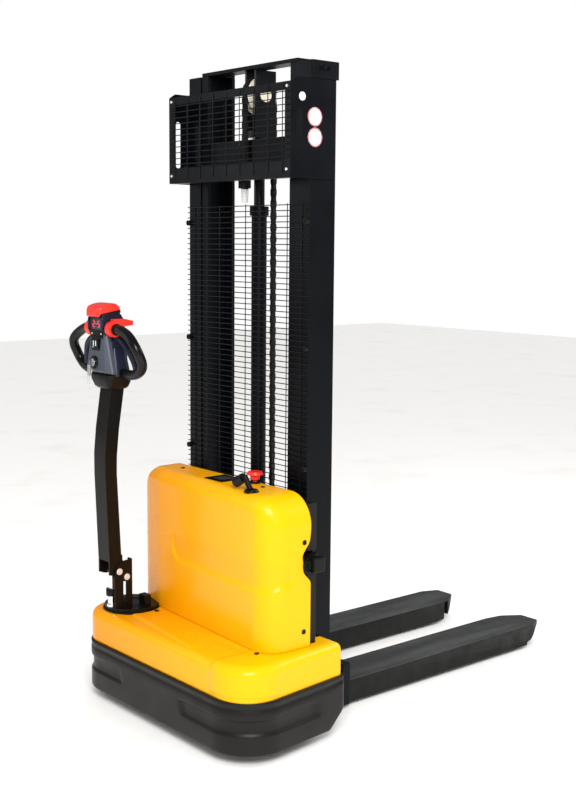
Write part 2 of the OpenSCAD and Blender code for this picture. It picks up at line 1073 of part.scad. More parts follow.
// Loop grips on both sides of the head; the throttle turns on their straight upper ends
function grip_path() = [
    [78, shaft_y, shaft_z], [98, shaft_y + 1, shaft_z - 1], [122, -365, 1245], [146, -365, 1235],
    [168, -367, 1222], [186, -367, 1206], [195, -361, 1186], [196, -353, 1168], [194, -345, 1150],
    [186, -340, 1134], [168, -338, 1119], [140, -337, 1109], [105, -336, 1106], [70, -335, 1107],
    [44, -334, 1108]
];

module loop_handles() {
    color(trim_black)
    placed()
    translate([head_x, 0, 0])
    both_sides()
    union() {
        rod_x([60, shaft_y, shaft_z], 14, 40);
        swept_tube(smooth(grip_path(), 2), 16, 12);
    }
}

// Red safety cap, which the operator's body pushes in
module belly_button() {
    color(signal_red)
    placed()
    translate([head_x, 0, 0])
    union() {
        side_profile([[-408, 1294], [-402, 1294], [-402, 1300], [-334, 1308], [-322, 1308], [-316, 1310],
                      [-326, 1326], [-342, 1335], [-384, 1334], [-400, 1328], [-408, 1316]], -44, 44);
        rod_z([0, -365, 1286], 8, 40);
    }
}

// Butterfly throttle: a ring with a thumb wing on each grip
module throttle_lever() {
    color(signal_red)
    placed()
    translate([head_x, shaft_y, shaft_z])
    both_sides()
    difference() {
        union() {
            rod_x([63, 0, 0], 26, 26);
            side_profile([[-4, 16], [14, 15], [30, 8], [69, 12], [69, 26], [38, 33], [-4, 33]], 52, 74);
        }
        rod_x([63, 0, 0], 14.06, 40);
    }
}

module rocker_switch() {
    color(trim_black)
    placed()
    translate([head_x, -392, 1204])
    union() {
        block([-20, -8, -15], [20, 2, 15]);
        rod_x([0, 4, 0], 3, 54);
    }
}

// Lock barrel with its key, and a spare key on the ring
module key_set() {
    color(zinc)
    placed()
    translate([head_x - 4, -398, 1142])
    union() {
        rod_y([0, 0, 0], 12.6, 16);
        block([-1.2, -20, -9], [1.2, -8, 9]);
        block([-9, -22, -42], [9, -20, -6]);
    }
}

base_frame();
leg_left();
leg_right();
chassis_deck();
bumper_skirt();
lower_cover();
upper_cover();
back_panel();
cover_screws();
display_panel();
e_stop_base();
disconnect_socket();
battery_pack();
pump_motor();
oil_tank();
motor_controller();
outer_column_left();
outer_column_right();
outer_ties();
guard_frame();
guard_mesh();
mast_mesh();
mesh_clips();
lift_cylinder();
cylinder_hose();
inner_column_left();
inner_column_right();
inner_crossbeams();
piston_rod();
chain_sheave();
chain_rear_run();
chain_front_run();
mast_rollers();
carriage_frame();
fork_left();
fork_right();
fork_heels();
carriage_rollers_upper();
carriage_rollers_lower();
load_roller_left();
load_roller_right();
caster_fork();
caster_wheel();
drive_housing();
drive_motor();
drive_wheel();
steer_platform();
tiller_cable();
gas_spring_body();
gas_spring_rod();
tiller_arm();
tiller_head();
loop_handles();
belly_button();
throttle_lever();
rocker_switch();
key_set();
e_stop_button();
lift_lever();
disconnect_plug();
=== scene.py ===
"""Walkie stacker: materials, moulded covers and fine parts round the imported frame.

Places are in millimetres in the mast's frame, as in the part's source: x from the mast's middle,
y from its rear face and z from the floor. row() turns them into the row frame, in metres.
"""
import json
import math

import bmesh
import bpy
import numpy as np
from mathutils import Matrix, Vector


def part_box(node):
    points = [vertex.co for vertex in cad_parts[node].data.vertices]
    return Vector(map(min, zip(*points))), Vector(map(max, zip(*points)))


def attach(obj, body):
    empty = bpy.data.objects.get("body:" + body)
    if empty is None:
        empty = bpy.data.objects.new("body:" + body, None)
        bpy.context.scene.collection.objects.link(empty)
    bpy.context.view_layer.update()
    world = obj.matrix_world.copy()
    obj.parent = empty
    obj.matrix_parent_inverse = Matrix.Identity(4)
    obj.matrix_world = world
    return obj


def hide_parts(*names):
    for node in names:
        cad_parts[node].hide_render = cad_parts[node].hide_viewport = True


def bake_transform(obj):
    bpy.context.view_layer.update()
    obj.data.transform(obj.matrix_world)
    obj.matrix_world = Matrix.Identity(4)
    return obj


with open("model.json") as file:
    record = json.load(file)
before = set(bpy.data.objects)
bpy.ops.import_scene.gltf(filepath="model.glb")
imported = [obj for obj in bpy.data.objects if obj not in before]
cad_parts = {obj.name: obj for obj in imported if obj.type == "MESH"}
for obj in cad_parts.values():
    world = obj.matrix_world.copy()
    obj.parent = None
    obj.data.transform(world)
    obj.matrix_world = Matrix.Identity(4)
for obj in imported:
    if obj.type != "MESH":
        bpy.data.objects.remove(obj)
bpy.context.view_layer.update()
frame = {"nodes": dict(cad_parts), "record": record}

# ---- The mast's frame ----

LEFT_LO, LEFT_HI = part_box("outer_column_left")
RIGHT_LO, RIGHT_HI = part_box("outer_column_right")
MAST_X = (LEFT_LO.x + RIGHT_HI.x) / 2
MAST_Y = LEFT_LO.y
MM = 0.001


def row(x, y, z):
    return Vector((MAST_X + x * MM, MAST_Y + y * MM, z * MM))


def row_array(points):
    return np.asarray(points, float) * MM + np.array([MAST_X, MAST_Y, 0.0])


STEER_X, STEER_Y = -285, -265
HEAD_X = STEER_X
DECK_Z, COVER_TOP, SKIRT_TOP, SKIRT_FOOT = 302, 775, 196, 32
COLUMN_HALF = 318.5

# ---- Camera ----


AZIMUTH, ELEVATION, ROLL = 49.848, 7.311, 0.438
LENS = 54.82
EYE = (3140.1, -2465.1, 1530.1)


def camera():
    azimuth, elevation, roll = (math.radians(angle) for angle in (AZIMUTH, ELEVATION, ROLL))
    forward = Vector((-math.sin(azimuth) * math.cos(elevation), math.cos(azimuth) * math.cos(elevation),
                      -math.sin(elevation)))
    right = Vector((math.cos(azimuth), math.sin(azimuth), 0))
    up = right.cross(forward)
    right = right * math.cos(roll) + up * math.sin(roll)
    up = right.cross(forward)
    data = bpy.data.cameras.new("camera")
    data.lens = LENS
    data.clip_end = 50
    obj = bpy.data.objects.new("camera", data)
    bpy.context.scene.collection.objects.link(obj)
    matrix = Matrix((right, up, -forward)).transposed().to_4x4()
    matrix.translation = row(*EYE)
    obj.matrix_world = matrix
    bpy.context.scene.camera = obj


camera()

# ---- Materials ----


class Nodes:
    """Short ways to add and link shader nodes."""

    def __init__(self, name):
        self.material = bpy.data.materials.new(name)
        self.material.use_nodes = True
        self.tree = self.material.node_tree
        self.shader = self.tree.nodes["Principled BSDF"]
        self.place = self.add("ShaderNodeTexCoord").outputs["Object"]

    def add(self, kind, **inputs):
        node = self.tree.nodes.new(kind)
        for key, value in inputs.items():
            if isinstance(value, bpy.types.NodeSocket):
                self.tree.links.new(value, node.inputs[key])
            else:
                node.inputs[key].default_value = value
        return node

    def noise(self, scale, detail=4.0, stretch=(1, 1, 1)):
        moved = self.add("ShaderNodeMapping", Vector=self.place, Scale=stretch)
        noise = self.add("ShaderNodeTexNoise", Vector=moved.outputs[0], Scale=scale, Detail=detail)
        return noise.outputs["Fac"]

    def ramp(self, value, low, high, a=0.0, b=1.0):
        node = self.add("ShaderNodeMapRange")
        self.tree.links.new(value, node.inputs["Value"])
        for key, number in (("From Min", low), ("From Max", high), ("To Min", a), ("To Max", b)):
            node.inputs[key].default_value = number
        return node.outputs["Result"]

    def mix(self, factor, a, b):
        node = self.tree.nodes.new("ShaderNodeMix")
        node.data_type = "RGBA"
        for socket, value in ((node.inputs[0], factor), (node.inputs[6], a), (node.inputs[7], b)):
            if isinstance(value, bpy.types.NodeSocket):
                self.tree.links.new(value, socket)
            elif socket is node.inputs[0]:
                socket.default_value = value
            else:
                socket.default_value = (*value, 1)
        return node.outputs[2]

    def bump(self, height, strength, distance):
        node = self.add("ShaderNodeBump", Height=height, Strength=strength, Distance=distance)
        self.tree.links.new(node.outputs[0], self.shader.inputs["Normal"])

    def link(self, output, name):
        self.tree.links.new(output, self.shader.inputs[name])


def finish_material(name, colour, roughness, metallic=0.0, grain=600.0, grain_depth=0.00008,
                    rub=None, coat=0.0, stretch=(1, 1, 1), shine=0.5):
    """A surface with colour drift, roughness patches, a fine grain and, with rub, small paler scuffs."""
    n = Nodes(name)
    shade = tuple(c * 0.88 for c in colour)
    base = n.mix(n.ramp(n.noise(3.0), 0.3, 0.7), shade, colour)
    if rub:
        scuffs = n.ramp(n.noise(28.0, 9.0, (1, 1, 0.25)), 0.66, 0.82, 0.0, 0.6)
        base = n.mix(scuffs, base, rub)
    n.link(base, "Base Color")
    n.shader.inputs["Specular IOR Level"].default_value = shine
    rough = n.ramp(n.noise(9.0, 6.0), 0.3, 0.7, roughness * 0.85, min(roughness * 1.2, 1.0))
    n.link(rough, "Roughness")
    n.bump(n.noise(grain, 2.0, stretch), 0.5, grain_depth)
    n.shader.inputs["Metallic"].default_value = metallic
    n.shader.inputs["Coat Weight"].default_value = coat
    n.shader.inputs["Coat Roughness"].default_value = 0.08
    return n.material


def fork_paint_top_lit():
    """Grey fork paint: the upper faces painted paler than the dark sides as painted light from above, with
    paler rubbed patches of wear on the tops.
    """
    n = Nodes("fork_paint_top_lit")
    normal = n.add("ShaderNodeSeparateXYZ")
    n.tree.links.new(n.add("ShaderNodeNewGeometry").outputs["Normal"], normal.inputs[0])
    # painted light: faces that point up take the paler colour as if lit from above, and the sides stay dark
    # as painted shade
    up = n.ramp(normal.outputs["Z"], 0.2, 0.8)
    rubbed = n.ramp(n.noise(14.0, 8.0, (1, 0.12, 1)), 0.42, 0.66)
    top = n.mix(rubbed, (0.032, 0.034, 0.033), (0.060, 0.063, 0.061))
    n.link(n.mix(up, (0.0050, 0.0050, 0.0046), top), "Base Color")
    n.shader.inputs["Specular IOR Level"].default_value = 0.2
    n.link(n.ramp(n.noise(20.0), 0.3, 0.7, 0.38, 0.6), "Roughness")
    n.bump(n.noise(500.0, 3.0), 0.5, 0.00008)
    return n.material


def cover_yellow():
    """Moulded yellow plastic with painted shade that turns it more orange to the left, and a faint orange
    peel.
    """
    n = Nodes("cover_yellow")
    split = n.add("ShaderNodeSeparateXYZ")
    n.tree.links.new(n.place, split.inputs[0])
    # painted light: the colour runs from a shaded orange on the left to a lit yellow on the right, as if lit
    # from the right
    painted_light_across = n.ramp(split.outputs["X"], MAST_X - 0.35, MAST_X + 0.45)
    base = n.mix(painted_light_across, (0.80, 0.285, 0.0003), (0.86, 0.44, 0.0003))
    dusty = n.ramp(n.noise(5.0, 8.0), 0.55, 0.85, 0.0, 0.10)
    n.link(n.mix(dusty, base, (0.78, 0.36, 0.006)), "Base Color")
    n.shader.inputs["Specular IOR Level"].default_value = 0.16
    n.link(n.ramp(n.noise(7.0, 6.0), 0.3, 0.7, 0.2, 0.32), "Roughness")
    n.bump(n.noise(150.0, 1.0), 0.35, 0.0002)
    n.shader.inputs["Coat Weight"].default_value = 0.08
    n.shader.inputs["Coat Roughness"].default_value = 0.1
    return n.material


def screen_glass():
    n = Nodes("screen_glass")
    lines = n.ramp(n.noise(900.0, 1.0), 0.4, 0.6)
    n.link(n.mix(lines, (0.035, 0.045, 0.05), (0.05, 0.06, 0.065)), "Base Color")
    n.shader.inputs["Roughness"].default_value = 0.12
    return n.material


def glowing_red():
    n = Nodes("glowing_red")
    n.link(n.mix(n.ramp(n.noise(300.0), 0.3, 0.7), (0.7, 0.02, 0.05), (0.9, 0.04, 0.08)), "Base Color")
    n.shader.inputs["Emission Color"].default_value = (1.0, 0.05, 0.12, 1)
    n.shader.inputs["Emission Strength"].default_value = 0.6
    return n.material


PAINT = {
    "mast": finish_material("mast_paint", (0.0020, 0.0027, 0.0042), 0.34, rub=(0.008, 0.009, 0.011),
                            shine=0.12),
    "wire": finish_material("wire_paint", (0.0035, 0.004, 0.005), 0.4, shine=0.2),
    "fork": fork_paint_top_lit(),
    "yellow": cover_yellow(),
    "skirt": finish_material("skirt_plastic", (0.0085, 0.0080, 0.0073), 0.40, grain=350.0,
                             grain_depth=0.0003, shine=0.22),
    "trim": finish_material("trim_plastic", (0.0035, 0.0033, 0.0033), 0.36, grain=500.0,
                            grain_depth=0.0001, shine=0.2),
    "arm": finish_material("arm_paint", (0.0045, 0.0036, 0.0032), 0.32, rub=(0.015, 0.015, 0.015),
                           shine=0.16),
    "head": finish_material("head_plastic", (0.050, 0.060, 0.085), 0.38, grain=700.0, grain_depth=0.0001),
    "dark_head": finish_material("dark_head_plastic", (0.006, 0.010, 0.026), 0.36, grain=700.0, shine=0.3),
    "red": finish_material("red_plastic", (0.80, 0.025, 0.012), 0.34, grain=400.0, coat=0.2),
    "steel": finish_material("bright_steel", (0.62, 0.63, 0.65), 0.24, metallic=1.0, grain=300.0,
                             stretch=(1, 1, 0.05)),
    "rod": finish_material("blacked_rod", (0.016, 0.017, 0.020), 0.22, metallic=0.7, grain=200.0,
                           shine=0.4),
    "chrome": finish_material("chromed_rod", (0.82, 0.83, 0.85), 0.08, metallic=1.0, grain=200.0,
                              grain_depth=0.00001),
    "cast": finish_material("cast_housing", (0.20, 0.20, 0.21), 0.55, metallic=0.7, grain=250.0,
                            grain_depth=0.0004),
    "rubber": finish_material("rubber", (0.006, 0.006, 0.006), 0.55, grain=300.0, grain_depth=0.0002,
                              shine=0.25),
    "grip": finish_material("grip_rubber", (0.0032, 0.0030, 0.0030), 0.28, grain=400.0,
                            grain_depth=0.0001, shine=0.25),
    "bolt": finish_material("zinc_plate", (0.74, 0.74, 0.72), 0.35, metallic=0.35, grain=300.0),
    "poly": finish_material("polyurethane", (0.42, 0.05, 0.03), 0.4, grain=200.0),
    "cream": finish_material("cream_nylon", (0.66, 0.62, 0.50), 0.4, grain=200.0),
    "hose": finish_material("hose_rubber", (0.010, 0.010, 0.011), 0.5, grain=900.0, grain_depth=0.0003),
    "chain": finish_material("oiled_chain", (0.020, 0.018, 0.017), 0.34, metallic=0.5, grain=400.0,
                             shine=0.3),
    "battery": finish_material("battery_case", (0.06, 0.06, 0.065), 0.5),
    "tank": finish_material("tank_plastic", (0.72, 0.75, 0.74), 0.45, grain=120.0, grain_depth=0.0003),
    "label": finish_material("blank_label", (0.75, 0.75, 0.72), 0.45, grain=200.0),
    "mark": finish_material("printed_mark", (0.78, 0.79, 0.80), 0.5, grain=200.0),
    "rim_red": finish_material("printed_red", (0.62, 0.06, 0.09), 0.5, grain=200.0),
    "screen": screen_glass(),
    "digit": glowing_red(),
}

# ---- Pieces ----


def add_piece(name, mesh, body, paint=None, replaces=(), smooth_angle=40):
    """Links a mesh as a piece with its material and its body, and hides the CAD nodes that it stands for."""
    obj = bpy.data.objects.new(name, mesh)
    bpy.context.scene.collection.objects.link(obj)
    if paint:
        mesh.materials.clear()
        mesh.materials.append(PAINT[paint])
    mesh.polygons.foreach_set("use_smooth", [True] * len(mesh.polygons))
    if smooth_angle:
        mesh.set_sharp_from_angle(angle=math.radians(smooth_angle))
    if body:
        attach(obj, body)
    if replaces:
        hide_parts(*replaces)
    return obj


def new_mesh(name, vertices, faces):
    mesh = bpy.data.meshes.new(name)
    mesh.from_pydata([tuple(v) for v in vertices], [], faces)
    mesh.validate()
    return mesh


def baked(obj):
    """The object's mesh with its modifiers applied."""
    bpy.context.view_layer.update()
    shown = obj.evaluated_get(bpy.context.evaluated_depsgraph_get())
    mesh = bpy.data.meshes.new_from_object(shown)
    obj.modifiers.clear()
    obj.data = mesh
    return obj


def bevel(obj, width_mm, segments=2, angle=32):
    modifier = obj.modifiers.new("bevel", "BEVEL")
    modifier.width = width_mm * MM
    modifier.segments = segments
    modifier.limit_method = "ANGLE"
    modifier.angle_limit = math.radians(angle)
    modifier.harden_normals = True
    return obj


BODY_OF = {n: b for b, members in frame["record"]["behaviour"]["bodies"].items() for n in members}


def soften(node, width_mm, paint, segments=2, angle=32):
    """A node's own shape as a new piece with merged flat faces and rounded edges."""
    shape = bmesh.new()
    shape.from_mesh(frame["nodes"][node].data)
    for layer in list(shape.loops.layers.float_vector.values()):
        shape.loops.layers.float_vector.remove(layer)
    bmesh.ops.remove_doubles(shape, verts=shape.verts, dist=2e-6)
    bmesh.ops.dissolve_limit(shape, angle_limit=math.radians(0.8), verts=shape.verts, edges=shape.edges)
    mesh = bpy.data.meshes.new(node + "_form")
    shape.to_mesh(mesh)
    shape.free()
    if "custom_normal" in mesh.attributes:
        mesh.attributes.remove(mesh.attributes["custom_normal"])
    obj = add_piece(node + "_form", mesh, BODY_OF[node], paint, (node,), smooth_angle=angle)
    return bevel(obj, width_mm, segments, angle)


def paint_node(node, paint):
    obj = frame["nodes"][node]
    for slot in obj.material_slots:
        slot.material = PAINT[paint]
    if not obj.material_slots:
        obj.data.materials.append(PAINT[paint])


# ---- Fields: signed distances in mm, negative inside ----


def fillet(a, b, r):
    """Where two distances meet, an outer edge of radius r."""
    return np.minimum(np.maximum(a, b), -r) + np.hypot(np.maximum(a + r, 0), np.maximum(b + r, 0))


def side(x, y, p, q):
    """Distance outside the line from p to q, which keeps the solid on its left."""
    dx, dy = q[0] - p[0], q[1] - p[1]
    return ((x - p[0]) * dy - (y - p[1]) * dx) / math.hypot(dx, dy)


def step(v, low, high):
    """Rises smoothly from 0 at low to 1 at high."""
    t = np.clip((v - low) / (high - low), 0, 1)
    return t * t * (3 - 2 * t)


def skirt_outline(x, y):
    rear = side(x, y, (-290, -402), (348, -402))
    right = side(x, y, (493, -257), (459, 44))
    left = side(x, y, (-392, 14), (-420, -272))
    front = y - 44
    return fillet(fillet(fillet(rear, right, 145), left, 130), front, 24)


def lower_field(x, y, z):
    panel = (1 - step(x + 0.37 * (y + 365), 190, 206)) * step(y + 0.12 * x, -346, -334)
    corner = step(x, 322, 344) * step(z, 206, 216) * (1 - step(y, -252, -226))
    wall = skirt_outline(x, y) + 9.5
    top = z - (DECK_Z - 4) - 4 * np.maximum(panel, step(y, -252, -236))
    return fillet(wall, top, 26) - 4 * corner * step(x + z - y, 560, 640)


def upper_field(x, y, z):
    top, right, left = z - COVER_TOP, x - 420, -350 - x
    form = fillet(fillet(top, right, 95), left, 85)
    rear = side(x, y, (-222, -200), (221, -231))
    rear = fillet(rear, side(x, y, (-315, -177), (-222, -200)), 3)
    rear = fillet(rear, side(x, y, (-350, -160), (-315, -177)), 4)
    radius = 45 + 40 * step(right - top, -60, 60)
    radius = radius + (16 - radius) * step(left - top, -60, 60)
    shape = fillet(form, rear, radius)
    # the pressed recess on the rear face: a rounded rectangle with a sharp lower edge
    qx, qz = np.abs(x - 150) - 235, np.abs(z - 540) - 8
    recess = np.hypot(np.maximum(qx, 0), np.maximum(qz, 0)) + np.minimum(np.maximum(qx, qz), 0) - 48
    depth = 7.5 * (1 - step(recess, -15, 0)) * (1 - step(z, 500, 598)) * (1 - step(y, -160, -120))
    return shape + depth


def box_grid(low, high, size, faces):
    """Quads on the named faces of a box; shared edges use the same vertices."""
    counts = [max(2, round((high[i] - low[i]) / size)) for i in range(3)]
    index, points, quads = {}, [], []

    def vertex(key):
        if key not in index:
            index[key] = len(points)
            points.append([low[i] + (high[i] - low[i]) * key[i] / counts[i] for i in range(3)])
        return index[key]

    for name in faces:
        axis = "xyz".index(name[1])
        fixed = 0 if name[0] == "-" else counts[axis]
        u, v = [(1, 2), (2, 0), (0, 1)][axis]
        for i in range(counts[u]):
            for j in range(counts[v]):
                keys = []
                for du, dv in ((0, 0), (1, 0), (1, 1), (0, 1)):
                    key = [0, 0, 0]
                    key[axis], key[u], key[v] = fixed, i + du, j + dv
                    keys.append(vertex(tuple(key)))
                quads.append(keys if name[0] == "+" else keys[::-1])
    return np.array(points), quads


def cast(points, core_low, core_high, field):
    """Moves each point towards the core until it meets the field's surface."""
    near = np.clip(points, core_low, core_high)
    inner, outer = np.zeros(len(points)), np.ones(len(points))
    for _ in range(34):
        middle = (inner + outer) / 2
        spot = near + middle[:, None] * (points - near)
        outside = field(spot[:, 0], spot[:, 1], spot[:, 2]) > 0
        outer = np.where(outside, middle, outer)
        inner = np.where(outside, inner, middle)
    return near + outer[:, None] * (points - near)


def cut(obj, tool_mesh):
    """Takes the tool's volume out of a piece."""
    tool = bpy.data.objects.new("tool", tool_mesh)
    bpy.context.scene.collection.objects.link(tool)
    modifier = obj.modifiers.new("cut", "BOOLEAN")
    modifier.operation = "DIFFERENCE"
    modifier.solver = "EXACT"
    modifier.object = tool
    baked(obj)
    bpy.data.objects.remove(tool)
    return obj


def face_outwards(mesh):
    shape = bmesh.new()
    shape.from_mesh(mesh)
    bmesh.ops.recalc_face_normals(shape, faces=shape.faces)
    shape.to_mesh(mesh)
    shape.free()
    return mesh


def between(ring, other):
    """The vertices and faces of a closed solid from one ring of points to another of equal count."""
    n = len(ring)
    faces = [list(range(n)), list(range(n, 2 * n))]
    faces += [[k, (k + 1) % n, n + (k + 1) % n, n + k] for k in range(n)]
    return ring + other, faces


def prism(points, low, high):
    """A closed mesh: a plan outline from low to high, in mm."""
    vertices, faces = between([(x, y, low) for x, y in points], [(x, y, high) for x, y in points])
    return face_outwards(new_mesh("prism", row_array(vertices), faces))


def circle(x, y, r):
    angles = (2 * math.pi * i / 64 for i in range(64))
    return [(x + r * math.cos(a), y + r * math.sin(a)) for a in angles]


def rectangle(x0, y0, x1, y1):
    return [(x0, y0), (x1, y0), (x1, y1), (x0, y1)]


def shell(name, points, quads, thickness, body, node, paint):
    mesh = new_mesh(name, row_array(points), quads)
    obj = add_piece(name, mesh, body, paint, (node,), smooth_angle=0)
    modifier = obj.modifiers.new("wall", "SOLIDIFY")
    modifier.thickness = thickness * MM
    modifier.offset = -1
    return baked(obj)


def covers():
    points, quads = box_grid((-430, -412, SKIRT_TOP), (500, 50, 312), 5.5, ("-x", "+x", "-y", "+y", "+z"))
    points = cast(points, (-290, -257, 0), (348, 14, 250), lower_field)
    lower = shell("lower_cover_shell", points, quads, 5, "chassis", "lower_cover", "yellow")
    cut(lower, prism(circle(STEER_X, STEER_Y, 97), 250, 350))
    cut(lower, prism(rectangle(-330, -160, 400, -36), 250, 350))
    cut(lower, prism(rectangle(-COLUMN_HALF, -12, COLUMN_HALF, 200), 150, 400))

    points, quads = box_grid((-360, -252, DECK_Z), (430, -74, 785), 4.5, ("-x", "+x", "-y", "+z"))
    points = cast(points, (-265, -150, 0), (325, 500, 680), upper_field)
    x, y, z = points.T
    notch = 30 * step(z, 500, 546) * (1 - step(z, 582, 640)) + 6 * step(z, 560, 600) * (1 - step(z, 610, 680))
    pull = np.clip((y + 150) / 76, 0, 1) * step(x, 395, 412)
    points = np.column_stack([x, y - notch * pull, z])
    shell("upper_cover_shell", points, quads, 4, "chassis", "upper_cover", "yellow")


def skirt_path():
    """Points and outward normals along the skirt's outline, from the left of the mast round to the right."""
    path = [((-COLUMN_HALF, 44), (0, 1)), ((-340, 44), (0, 1))]

    def bend(cx, cy, r, start, end):
        count = max(4, round(abs(end - start) / 5))
        for i in range(count + 1):
            a = math.radians(start + (end - start) * i / count)
            path.append(((cx + r * math.cos(a), cy + r * math.sin(a)), (math.cos(a), math.sin(a))))

    bend(-362, 14, 30, 90, 174)
    bend(-290, -272, 130, 180, 270)
    bend(348, -257, 145, 270, 360)
    bend(439, 22, 22, 6, 90)
    path += [((380, 44), (0, 1)), ((COLUMN_HALF, 44), (0, 1))]
    dense = []
    for (p, m), (q, n) in zip(path, path[1:]):
        count = max(1, round(math.dist(p, q) / 9))
        for i in range(count):
            t = i / count
            dense.append(((p[0] + (q[0] - p[0]) * t, p[1] + (q[1] - p[1]) * t),
                          (m[0] + (n[0] - m[0]) * t, m[1] + (n[1] - m[1]) * t)))
    return dense + [path[-1]]


def groove_share(x, y, z):
    """1 where the pressed groove runs round a rear corner, fading to 0 past its slanted ends."""
    slant = 0.35 * (z - GROOVE_Z)
    right = step(x + slant, 186, 206) * (1 - step(y + slant, -96, -76))
    left = (1 - step(x + slant, -158, -138)) * (1 - step(y, -170, -150))
    return float(np.clip(right + left, 0, 1))


# The skirt's section as (height, distance inwards): its outer side from the foot up, with the groove and
# the band under the lip, then its inner side from the lip down
GROOVE_Z = 118
SKIRT_BELOW = [(SKIRT_FOOT, 6), (33.5, 2.5), (37, 0.6), (42, 0), (88, 0)]
SKIRT_GROOVE = [(93, 0.3), (97, 2.6), (100, 5.8), (103, 7), (GROOVE_Z, 7.4), (135, 7), (138, 5.8), (141, 2.6),
                (145, 0.3)]
SKIRT_ABOVE = [(150, 0), (171, 0), (173, 1.6), (184, 1.6), (186, 0), (192, 0), (195, 1), (SKIRT_TOP, 3)]
SKIRT_INNER = [(SKIRT_TOP, 15), (186, 15), (185.9, 9.6), (160, 9.6), (140, 9.6), (98, 9.6), (60, 9.6),
               (SKIRT_FOOT, 9.6)]


def bumper_skirt():
    """The skirt's section along its outline, with a foot that rises towards the mast."""
    vertices, faces, path = [], [], skirt_path()
    for (x, y), (nx, ny) in path:
        lift = max(0, 20 + 0.9 * (y + 40) - SKIRT_FOOT)
        groove = [(z, inset * groove_share(x, y, z)) for z, inset in SKIRT_GROOVE]
        for z, inset in SKIRT_BELOW + groove + SKIRT_ABOVE + SKIRT_INNER:
            high = z + lift * (SKIRT_TOP - z) / (SKIRT_TOP - SKIRT_FOOT)
            vertices.append((x - nx * inset, y - ny * inset, high))
    n = len(vertices) // len(path)
    for i in range(len(path) - 1):
        for k in range(n):
            m = (k + 1) % n
            faces.append([i * n + k, i * n + m, (i + 1) * n + m, (i + 1) * n + k])
    faces.append(list(range(n)))
    faces.append([(len(path) - 1) * n + k for k in range(n)][::-1])
    solid_piece("bumper_skirt_shell", [(vertices, faces)], "chassis", "skirt",
                ("bumper_skirt",), smooth_angle=50)


def swept(points, radius, sides=16, ends=True):
    """A tube's vertices and faces along points in mm."""
    points = [Vector(p) for p in points]
    vertices, faces, last = [], [], len(points) - 1
    normal = Vector((0.31, 0.9, 0.3))
    for i, p in enumerate(points):
        along = (points[min(i + 1, last)] - points[max(i - 1, 0)]).normalized()
        normal = (normal - along * normal.dot(along)).normalized()
        other = along.cross(normal)
        r = radius(i / last) if callable(radius) else radius
        for k in range(sides):
            a = 2 * math.pi * k / sides
            vertices.append(p + (normal * math.cos(a) + other * math.sin(a)) * r)
    for i in range(last):
        for k in range(sides):
            m = (k + 1) % sides
            faces.append([i * sides + k, i * sides + m, (i + 1) * sides + m, (i + 1) * sides + k])
    if ends:
        faces.append(list(range(sides))[::-1])
        faces.append([last * sides + k for k in range(sides)])
    return vertices, faces


def smooth_path(points, k):
    """A Catmull-Rom curve through the points, with k steps to each next one."""
    p = [Vector(q) for q in points]
    result = []
    for i in range(len(p) - 1):
        a, b, c, d = p[max(i - 1, 0)], p[i], p[i + 1], p[min(i + 2, len(p) - 1)]
        for j in range(k):
            t = j / k
            result.append(0.5 * (2 * b + (c - a) * t + (2 * a - 5 * b + 4 * c - d) * t * t
                                 + (3 * b - a - 3 * c + d) * t ** 3))
    return result + [p[-1]]


def join(parts):
    """Several vertex and face lists as one."""
    vertices, faces = [], []
    for part_vertices, part_faces in parts:
        base = len(vertices)
        vertices += list(part_vertices)
        faces += [[base + i for i in face] for face in part_faces]
    return vertices, faces


def solid_piece(name, parts, body, paint, replaces=(), width_mm=0, segments=2, smooth_angle=40):
    vertices, faces = join(parts)
    mesh = face_outwards(new_mesh(name, row_array([tuple(v) for v in vertices]), faces))
    obj = add_piece(name, mesh, body, paint, replaces, smooth_angle)
    return bevel(obj, width_mm, segments) if width_mm else obj


def block(a, b):
    x0, y0, z0 = a
    x1, y1, z1 = b
    vertices = [(x, y, z) for z in (z0, z1) for x, y in rectangle(x0, y0, x1, y1)]
    faces = [[3, 2, 1, 0], [4, 5, 6, 7]] + [[i, (i + 1) % 4, 4 + (i + 1) % 4, 4 + i] for i in range(4)]
    return vertices, faces


def turned(centre, axis, profile, sides=48):
    """A closed solid turned about an axis: profile is a closed ring of (along, radius) in mm."""
    frames = {"x": ((1, 0, 0), (0, 1, 0), (0, 0, 1)), "y": ((0, 1, 0), (0, 0, 1), (1, 0, 0)),
              "z": ((0, 0, 1), (1, 0, 0), (0, 1, 0))}
    a, u, v = (Vector(w) for w in frames[axis])
    vertices, faces, n = [], [], len(profile)
    for k in range(sides):
        t = 2 * math.pi * k / sides
        for along, radius in profile:
            vertices.append(Vector(centre) + a * along + (u * math.cos(t) + v * math.sin(t)) * radius)
    for k in range(sides):
        m = (k + 1) % sides
        for i in range(n):
            j = (i + 1) % n
            faces.append([k * n + i, k * n + j, m * n + j, m * n + i])
    return vertices, faces


def loft(sections, axis_x):
    """A closed solid through sections of equal count, each (z, [(x, y), ...])."""
    vertices, faces, n = [], [], len(sections[0][1])
    for z, ring in sections:
        vertices += [(axis_x + x, y, z) for x, y in ring]
    for s in range(len(sections) - 1):
        for i in range(n):
            j = (i + 1) % n
            faces.append([s * n + i, s * n + j, (s + 1) * n + j, (s + 1) * n + i])
    faces.append(list(range(n))[::-1])
    faces.append([(len(sections) - 1) * n + i for i in range(n)])
    return vertices, faces


def rounded(x0, y0, x1, y1, r):
    """A rectangle with corners of radius r, each in four steps."""
    ring = []
    corners = (x1 - r, y1 - r, 0), (x0 + r, y1 - r, 90), (x0 + r, y0 + r, 180), (x1 - r, y0 + r, 270)
    for cx, cy, start in corners:
        for i in range(5):
            a = math.radians(start + 22.5 * i)
            ring.append((cx + r * math.cos(a), cy + r * math.sin(a)))
    return ring


# ---- Lift chain ----

CHAIN_PITCH, PLATE_T = 19.05, 2.6
CYL_Y, SHEAVE_R, SHEAVE_Z = 55, 60, 2002


